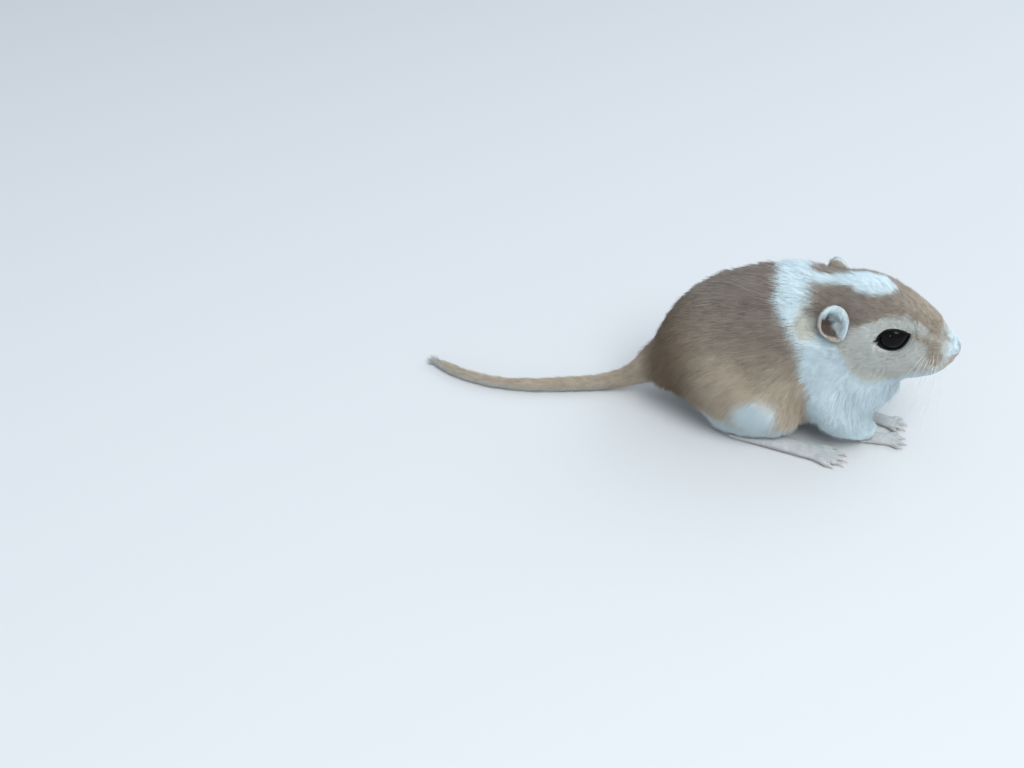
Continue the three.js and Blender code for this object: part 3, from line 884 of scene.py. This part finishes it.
# Hair on the ears lies from root to tip, and a white fringe stands in the front of the cup
def earCoat():
    head, earInside = toHead(skinPoints[onEar]), hollow[onEar]
    flip = np.ones_like(head)
    flip[:, 1] = np.sign(head[:, 1])
    fromBase = (head - np.array(ear["base"]) * flip) * flip
    stand = unit(np.array(ear["stand"]))
    opens = unit(np.array(ear["opens"]) - np.array(ear["opens"]) @ stand * stand)
    across = np.cross(opens, stand)
    high, wide, ahead = fromBase @ stand / ear["length"], fromBase @ across, fromBase @ opens
    flow = np.broadcast_to(stand, head.shape)
    fringe = earInside * np.maximum(ease(0.4, 1.7, wide), ease(0.78, 0.92, high))
    flow = flow + fringe[:, None] * (unit(-across * 0.8 - stand * 0.55) - flow)
    flow = (flow * flip) @ headAxes
    normals = skinNormals[onEar]
    lie[onEar] = unit(flow - (flow * normals).sum(1)[:, None] * normals)
    atRim = ease(-1.3, -0.1, ahead)
    inner = 0.7 + 1.3 * fringe * (1 - 0.7 * ease(0.82, 0.95, high))
    length[onEar] = np.where(earInside > 0.5, inner, 0.95 - 0.5 * atRim)
    count[onEar] = np.where(earInside > 0.5, 5 + 26 * fringe, 26)
    lift[onEar] = 0.22 * fringe
    thick[onEar] = 0.42 + 0.12 * fringe
    rim = ease(-0.7, -0.1, ahead) * (1 - earInside)
    # painted shade, darkest deep in the back of the cup
    hollowShade = ease(2.1, 0.6, wide) * ease(-0.1, -0.5, ahead) * earInside
    return np.maximum(rim, fringe), hollowShade, atRim


earWhite, earHollowShade, earCrest = earCoat()
forward = np.array([1, 0, -0.1])
lie[onFoot] = unit(forward - (skinNormals[onFoot] @ forward)[:, None] * skinNormals[onFoot])
length[onFoot] = 0.75
count[onFoot] = 12 * ease(0.3, 0.8, skinPoints[onFoot][:, 2])
thick[onFoot] = 0.3
count[onRim] = 0

# Paint of the skin: pale feet, dark rims of the lids, and painted shade in the mouth line, the groove
# under the nose, the nostrils and the hollow of the ear
earPaint = {"white": 0.7 * earWhite, "tan": 0.15, "dark": 0.5}
footPaint = {"white": 0.55, "tan": 0, "dark": 0.9, "brown": 0}
for chosen, paint in ((onEar, earPaint), (onFoot, footPaint)):
    for name, values in paint.items():
        marks[name][chosen] = values
bare[onEar] = (0.3 + 0.7 * hollow[onEar]) * (1 - 0.85 * earCrest)
bare[onFoot] = 0.35
marks["bare"] = bare
marks["rim"] = onRim.astype(float)
skinHead = toHead(skinPoints)
for side in sides:
    away = skinHead - eyePlace(side)
    atLids = (np.linalg.norm(away, axis=1) < 5.5) & (away[:, 1] * side > 0) & onBody
    corner = 0.1 * ease(-2.8, -3.4, away[atLids] @ lidAxes(side)[0])
    marks["rim"][atLids] = ease(0.35, 0.22, outsideAlmond(skinHead[atLids], side) - corner)
oneSide = mirrored(skinHead)
# painted shade: the mouth line, the groove under the nose and the nostrils darkened
openingShade = 0.5 * ease(0.3, 0.1, np.minimum(farFrom(oneSide, mouth), farFrom(oneSide, philtrum)))
openingShade = np.maximum(openingShade, 0.9 * near(oneSide, nostril["at"], nostril["radii"]))
marks["rim"] = np.maximum(marks["rim"], openingShade * onBody)
# painted shade in the ear's hollow: the skin near black there
marks["rim"][onEar] = 0.85 * earHollowShade
for name, values in marks.items():
    setValues(skinMesh, name, values)
setSmooth(skinMesh)
skinMesh.materials.append(skinFinish)
skin = newObject("skin", skinMesh)
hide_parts(*fleshNodes, *footNodes, "ear_left", "ear_right")
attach(skin, "root")
print("skin:", len(skinMesh.polygons), "faces")


# Claws: one on each toe, a curved cone of horn
toes = {
    "hind": {
        "heel": (-12.5, 11.2),
        "ball": (5.6, 13.2),
        "half": 2.5,
        "thick": 0.816,
        "long": 5.8,
        "fan": [(-0.82, -24, 0.66), (-0.44, -10, 0.94), (0, 0, 1), (0.44, 9, 0.94), (0.82, 22, 0.7)],
    },
    "fore": {
        "heel": (15.2, 4.5),
        "ball": (20.8, 3.4),
        "half": 1.9,
        "thick": 0.612,
        "long": 3.5,
        "fan": [(-0.78, -30, 0.82), (-0.28, -8, 1), (0.28, 12, 0.98), (0.78, 34, 0.78)],
    },
}
claw = {
    "starts": 0.84,  # this and its length are shares of the foot's length, the radii of its thickness
    "length": 0.44,
    "radii": np.array([0.36, 0.35, 0.31, 0.26, 0.2, 0.13, 0.05]),
    "around": 8,
}
hornStops = [(0.3, (0.42, 0.33, 0.27)), (0.7, (0.66, 0.57, 0.50))]
hornConstants = {
    "Roughness": 0.32,
    "Subsurface Weight": 0.2,
    "Subsurface Radius": (0.0006, 0.0004, 0.0003),
}
horn = clouded("claw", 2500.0, 3.0, hornStops, hornConstants)
clawMeshes = []
for foot in toes.values():
    heel, ball = np.array(foot["heel"]), np.array(foot["ball"])
    ahead = unit(ball - heel)
    outward = np.array([-ahead[1], ahead[0]])
    for side in sides:
        for share, turn, reach in foot["fan"]:
            a = math.radians(turn)
            way = ahead * math.cos(a) + outward * math.sin(a)
            root = ball + outward * share * foot["half"] * 0.8
            arch = []
            for t in np.linspace(0, 1, len(claw["radii"])):
                spot = root + way * (claw["starts"] + claw["length"] * t) * foot["long"] * reach
                arch.append((spot[0], spot[1] * side, foot["thick"] * (1.05 + 0.35 * t - 1.12 * t * t)))
            radii = foot["thick"] * claw["radii"]
            clawMeshes.append(tubeMesh("claw", arch, radii, claw["around"]))
clawMesh = joinedMesh("claws", clawMeshes)
setSmooth(clawMesh)
clawMesh.materials.append(horn)
claws = newObject("claws", clawMesh)
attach(claws, "root")

# Whiskers: rows on the pads beside the nose, a few over the eye and on the cheek
whiskers = {
    "rows": [0.7, -0.3, -1.3, -2.2],
    "columns": [27.6, 26.8, 25.9, 24.9, 23.9],
    "longest": 23.0,
    "shortest": 9.0,
    "thick": 0.03,
    "steps": 14,
    "around": 5,
    "stray": 0.12,
    "seed": 12,
}
draw = np.random.default_rng(whiskers["seed"])
hairs = [((17.5, 6.2, 6.6), 9, (0.1, 0.6, 0.8)), ((16.0, 6.6, 6.4), 11, (-0.4, 0.6, 0.7))]
hairs += [((15.0, 8.6, -5.0), 10, (-0.5, 0.8, -0.4)), ((25.0, 3.0, -6.2), 6, (0.1, 0.4, -0.9))]
for row, height in enumerate(whiskers["rows"]):
    for column, x in enumerate(whiskers["columns"]):
        back = column / 4
        size = whiskers["shortest"] + (whiskers["longest"] - whiskers["shortest"]) * back ** 0.8
        way = (0.3 - 0.5 * back, 0.78, -0.3 - 0.2 * row)
        hairs.append(((x - 0.2 * row, 4.4, height), size, way))
whiskerMeshes = []
for at, size, way in hairs:
    for side in sides:
        spot = np.array(at) * (1, side, 1) + draw.normal(size=3) * whiskers["stray"]
        root = skinHead[np.argmin(np.linalg.norm(skinHead - spot, axis=1))]
        aim = unit(np.array(way) * (1, side, 1) + draw.normal(size=3) * 0.09)
        long = size * draw.uniform(0.85, 1.1)
        t = np.linspace(0, 1, whiskers["steps"])[:, None]
        sag = np.array([[-0.10, 0, -0.34]]) * long * t**2 * draw.uniform(0.5, 1.3)
        line = fromHead(root + (t * long - 0.4) * aim + sag)
        line[:, 2] = np.maximum(line[:, 2], 0.4)
        radii = whiskers["thick"] * (1 - 0.85 * t.ravel()) * (0.6 + 0.4 * size / whiskers["longest"])
        whiskerMeshes.append(tubeMesh("whisker", line, radii, whiskers["around"], up=(0.31, 0.05, 0.95)))
whiskerMesh = joinedMesh("whiskers", whiskerMeshes)
setSmooth(whiskerMesh)
whiskerStops = [(0.3, (0.45, 0.42, 0.40)), (0.7, (0.78, 0.78, 0.77))]
whiskerMesh.materials.append(clouded("whisker", 300.0, 2.0, whiskerStops, {"Roughness": 0.35}))
whiskerPiece = newObject("whiskers", whiskerMesh)
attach(whiskerPiece, "root")
print("claws and whiskers are on")


# A tuft of hair, one unit long: three sides that rise from the root and close in the tip
def tuftMesh(name, rise, lean):
    points = [(0, -0.45, -0.04), (0, 0.45, -0.04), (-0.02, 0, 0), (1, lean, rise)]
    mesh = bpy.data.meshes.new(name)
    mesh.from_pydata(points, [], [(0, 2, 1), (0, 3, 2), (2, 3, 1), (0, 1, 3)])
    setValues(mesh, "along", np.array([0.0, 0, 0, 1]))
    setValues(mesh, "across", np.array([-1.0, 1, 0, 0]))
    return mesh


tufts = bpy.data.collections.new("tufts")
bpy.context.scene.collection.children.link(tufts)
for index, (rise, lean) in enumerate([(0.17, 0.0), (0.22, 0.5), (0.13, -0.6), (0.19, -0.3)]):
    name = f"tuft_{index}"
    tufts.objects.link(bpy.data.objects.new(name, tuftMesh(name, rise, lean)))


# Width is in metres, Gather the share of the way to a lock. The rest multiply what the skin asks for
coatSettings = {
    "Density": 2.6,
    "Length": 1.0,
    "Width": 0.00016,
    "Lock Density": 0.1,
    "Gather": 0.42,
    "Ruffle": 1.25,
}


# Tufts over a piece of skin, gathered into locks
def coatTree():
    tree = bpy.data.node_groups.new("coat over skin", "GeometryNodeTree")
    kinds = {"Skin": "Geometry", "Tufts": "Collection", "Finish": "Material"}
    kinds.update({name: "Float" for name in coatSettings})
    kinds["Seed"] = "Int"
    sockets = {}
    for name, kind in kinds.items():
        socket = tree.interface.new_socket(name, in_out="INPUT", socket_type=f"NodeSocket{kind}")
        sockets[name] = socket.identifier
    tree.interface.new_socket("Coat", in_out="OUTPUT", socket_type="NodeSocketGeometry")
    given = tree.nodes.new("NodeGroupInput").outputs

    def made(kind, inputs=None, **settings):
        return node(tree, kind, inputs, **settings).outputs[0]

    def attribute(name, kind="FLOAT"):
        return made("GeometryNodeInputNamedAttribute", {"Name": name}, data_type=kind)

    def plus(a, b):
        return made("ShaderNodeMath", {0: a, 1: b}, operation="ADD")

    def times(a, b):
        return made("ShaderNodeMath", {0: a, 1: b}, operation="MULTIPLY")

    def vectors(operation, a, b):
        other = "Scale" if operation == "SCALE" else 1
        return made("ShaderNodeVectorMath", {0: a, other: b}, operation=operation)

    def drawn(low, high, seed):
        values = node(tree, "FunctionNodeRandomValue", {"Seed": seed}, data_type="FLOAT")
        values.inputs[2].default_value = low
        values.inputs[3].default_value = high
        return values.outputs[1]

    def scattered(share, seed):
        perMetre = times(times(attribute("density"), given[share]), 1e6)
        inputs = {"Mesh": given["Skin"], "Density": perMetre, "Seed": seed}
        return node(tree, "GeometryNodeDistributePointsOnFaces", inputs).outputs

    seeds = [plus(given["Seed"], number) for number in range(8)]
    place = made("GeometryNodeInputPosition")
    roots = scattered("Density", seeds[0])
    locks = scattered("Lock Density", seeds[1])["Points"]
    inputs = {"Geometry": locks, "Sample Position": place}
    nearest = made("GeometryNodeSampleNearest", inputs, domain="POINT")

    def ofLock(value, kind="FLOAT"):
        # what the nearest lock has
        inputs = {"Geometry": locks, "Value": value, "Index": nearest}
        return made("GeometryNodeSampleIndex", inputs, data_type=kind, domain="POINT")

    def aligned(inputs, axis, pivot):
        return made("FunctionNodeAlignRotationToVector", inputs, axis=axis, pivot_axis=pivot)

    def stored(geometry, name, value, kind, domain):
        inputs = {"Geometry": geometry, "Name": name, "Value": value}
        return made("GeometryNodeStoreNamedAttribute", inputs, data_type=kind, domain=domain)

    # each tuft turns to the lie of the hair and towards its lock
    reach = times(times(attribute("size"), given["Length"]), drawn(0.72, 1.2, seeds[4]))
    pull = vectors("SCALE", vectors("SUBTRACT", ofLock(place, "FLOAT_VECTOR"), place), given["Gather"])
    aim = vectors("ADD", vectors("SCALE", attribute("lie", "FLOAT_VECTOR"), reach), pull)
    turned = aligned({"Vector": roots["Normal"]}, "Z", "AUTO")
    turned = aligned({"Rotation": turned, "Vector": aim}, "X", "Z")
    tilt = plus(times(ofLock(drawn(-1, 1, seeds[3])), -0.09), drawn(-0.08, 0.08, seeds[5]))
    tilt = times(plus(tilt, times(attribute("lift"), -1.0)), given["Ruffle"])
    yaw = times(drawn(-0.2, 0.2, seeds[6]), given["Ruffle"])
    wobble = made("ShaderNodeCombineXYZ", {"X": 0.0, "Y": tilt, "Z": yaw})
    wobble = made("FunctionNodeEulerToRotation", {"Euler": wobble})
    inputs = {"Rotation": turned, "Rotate By": wobble}
    turned = made("FunctionNodeRotateRotation", inputs, rotation_space="LOCAL")
    thickness = times(attribute("thick"), given["Width"])
    scale = made("ShaderNodeCombineXYZ", {"X": reach, "Y": thickness, "Z": reach})
    tone = plus(times(ofLock(drawn(0, 1, seeds[2])), 0.5), drawn(0, 0.5, seeds[7]))
    toned = stored(roots["Points"], "shade", tone, "FLOAT", "POINT")
    inputs = {"Collection": given["Tufts"], "Separate Children": True, "Reset Children": True}
    shapes = made("GeometryNodeCollectionInfo", inputs)
    inputs = {"Points": toned, "Instance": shapes, "Pick Instance": True}
    inputs.update({"Rotation": turned, "Scale": scale})
    coat = made("GeometryNodeInstanceOnPoints", inputs)
    coat = made("GeometryNodeRealizeInstances", {"Geometry": coat})
    # a small patch of the map for each tuft, beside its root's place
    inputs = {"X": times(attribute("across"), 0.0015), "Y": times(attribute("along"), 0.003)}
    patch = made("ShaderNodeCombineXYZ", inputs)
    mapPlace = vectors("ADD", attribute("rootPlace", "FLOAT_VECTOR"), patch)
    coat = stored(coat, "OFBake", mapPlace, "FLOAT2", "CORNER")
    for name in ("lie", "size", "density", "lift", "thick", "across", "rootPlace"):
        coat = made("GeometryNodeRemoveAttribute", {"Geometry": coat, "Name": name})
    coat = made("GeometryNodeSetMaterial", {"Geometry": coat, "Material": given["Finish"]})
    tree.links.new(coat, tree.nodes.new("NodeGroupOutput").inputs[0])
    return tree, sockets


# Tips of the hair come out to the coat's depth, whichever way the skin curves under them
def settled(points, normals, lie, length, lift):
    tree = KDTree(len(points))
    for index, point in enumerate(points.tolist()):
        tree.insert(point, index)
    tree.balance()
    wanted = coatDepth(points)
    tips = points + lie * length[:, None] + normals * (0.18 * length)[:, None]
    nearest = np.array([tree.find(tip)[1] for tip in tips.tolist()])
    height = ((tips - points[nearest]) * normals[nearest]).sum(1)
    turn = (wanted - height) / length
    spare = height - 0.17 * length
    short = np.where(turn < -0.17, np.sqrt(np.clip(wanted / np.maximum(spare, 1e-3), 0.2, 1)), 1)
    return length * short, lift + np.clip(turn, -0.17, 0.5)


length[onBody], lift[onBody] = settled(
    skinPoints[onBody], skinNormals[onBody], lie[onBody], length[onBody], lift[onBody]
)
coatMarks = markings(skinPoints + lie * (length * 0.85)[:, None])
for name, values in coatMarks.items():
    values[onFoot] = marks[name][onFoot]
coatMarks["white"][onEar] = earWhite * 0.95
coatMarks["tan"][onEar] = 0.2 * (1 - earWhite) * (1 - earHollowShade)
coatMarks["dark"][onEar] = 0.7
# painted shade on the hair deep in the ear's hollow
coatMarks["brown"][onEar] = earHollowShade

# The pieces of the coat, by where the skin's faces lie. The ears are closed by bald faces of many corners
faceCorners, faceSizes = [], []
for face in skinMesh.polygons:
    corners = list(face.vertices)
    if len(corners) <= 4:
        faceCorners.append((corners * 2)[:4])
        faceSizes.append(len(corners))
faceCorners, faceSizes = np.array(faceCorners), np.array(faceSizes)
faceMiddles = skinPoints[faceCorners].mean(1)
facePart = partOf[faceCorners[:, 0]]
faceHead = toHead(faceMiddles)
xFace, yFace = faceMiddles[:, 0], faceMiddles[:, 1]
ofBody = facePart == 0
isHead = (faceHead[:, 0] > 0.5) & (faceHead[:, 2] > -9.8) & ofBody
isTail = (xFace < -33) & ofBody
isFore = ~isHead & (xFace > -5) & ofBody
isBack = ~isHead & ~isFore & ~isTail & ofBody
halves = {"right": yFace < 0, "left": yFace >= 0}
regions = {"coat_muzzle": isHead & (faceHead[:, 0] > 22)}
for name, chosen in (
    ("face", isHead & (faceHead[:, 0] <= 22)),
    ("throat", isFore),
    ("flank", isBack & (xFace > -19)),
    ("rump", isBack & (xFace <= -19)),
):
    for half, onHalf in halves.items():
        regions[f"coat_{name}_{half}"] = chosen & onHalf
regions["coat_tail"] = isTail
regions["coat_ears_and_feet"] = (facePart == 1) | (facePart == 2)
onPoints = {"size": length * 0.001, "density": count, "lift": lift, "thick": thick, "lie": lie}
onPoints.update({"facing": skinNormals, **coatMarks})


def regionMesh(name, chosen):
    corners = faceCorners[chosen]
    used, renamed = np.unique(corners, return_inverse=True)
    renamed = renamed.reshape(corners.shape)
    faces = [row[:size] for row, size in zip(renamed.tolist(), faceSizes[chosen])]
    mesh = meshOf(name, skinPoints[used], faces)
    for key, values in onPoints.items():
        setValues(mesh, key, values[used])
    setSmooth(mesh)
    return mesh


def unwrapped(made):
    bpy.context.view_layer.objects.active = made
    made.select_set(True)
    bpy.ops.object.mode_set(mode="EDIT")
    bpy.ops.mesh.select_all(action="SELECT")
    bpy.ops.uv.smart_project(angle_limit=1.15, island_margin=0.004)
    bpy.ops.object.mode_set(mode="OBJECT")
    made.select_set(False)
    made.data.uv_layers.active.name = "rootPlace"


# Shading of a tuft leans to that of the skin under it, so that the coat looks soft
skinShare = 0.7


def softened(mesh):
    facing = np.empty(len(mesh.vertices) * 3, np.float32)
    mesh.attributes["facing"].data.foreach_get("vector", facing)
    blended = unit(skinShare * unit(facing.reshape(-1, 3)) + (1 - skinShare) * normalsOf(mesh))
    mesh.attributes.remove(mesh.attributes["facing"])
    mesh.normals_split_custom_set_from_vertices(blended.astype(np.float32))


coatNodes, coatSockets = coatTree()
for index, (name, chosen) in enumerate(regions.items()):
    piece = newObject(name, regionMesh(name, chosen))
    unwrapped(piece)
    modifier = piece.modifiers.new("coat", "NODES")
    modifier.node_group = coatNodes
    settings = {**coatSettings, "Tufts": tufts, "Finish": coatFinish, "Seed": 10 * index + 3}
    for key, value in settings.items():
        modifier[coatSockets[key]] = value
    depsgraph = bpy.context.evaluated_depsgraph_get()
    coatMesh = bpy.data.meshes.new_from_object(piece.evaluated_get(depsgraph))
    piece.modifiers.remove(modifier)
    # no tip goes under the floor
    hairPoints = pointsOf(coatMesh)
    hairPoints[:, 2] = np.maximum(hairPoints[:, 2], 0.02)
    setPoints(coatMesh, hairPoints)
    under = piece.data
    piece.data = coatMesh
    bpy.data.meshes.remove(under)
    coatMesh.name = name
    setSmooth(coatMesh)
    softened(coatMesh)
    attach(piece, "root")
    print(name, sum(len(face.vertices) - 2 for face in coatMesh.polygons), "triangles")
for made in list(tufts.objects):
    bpy.data.objects.remove(made)
bpy.data.collections.remove(tufts)
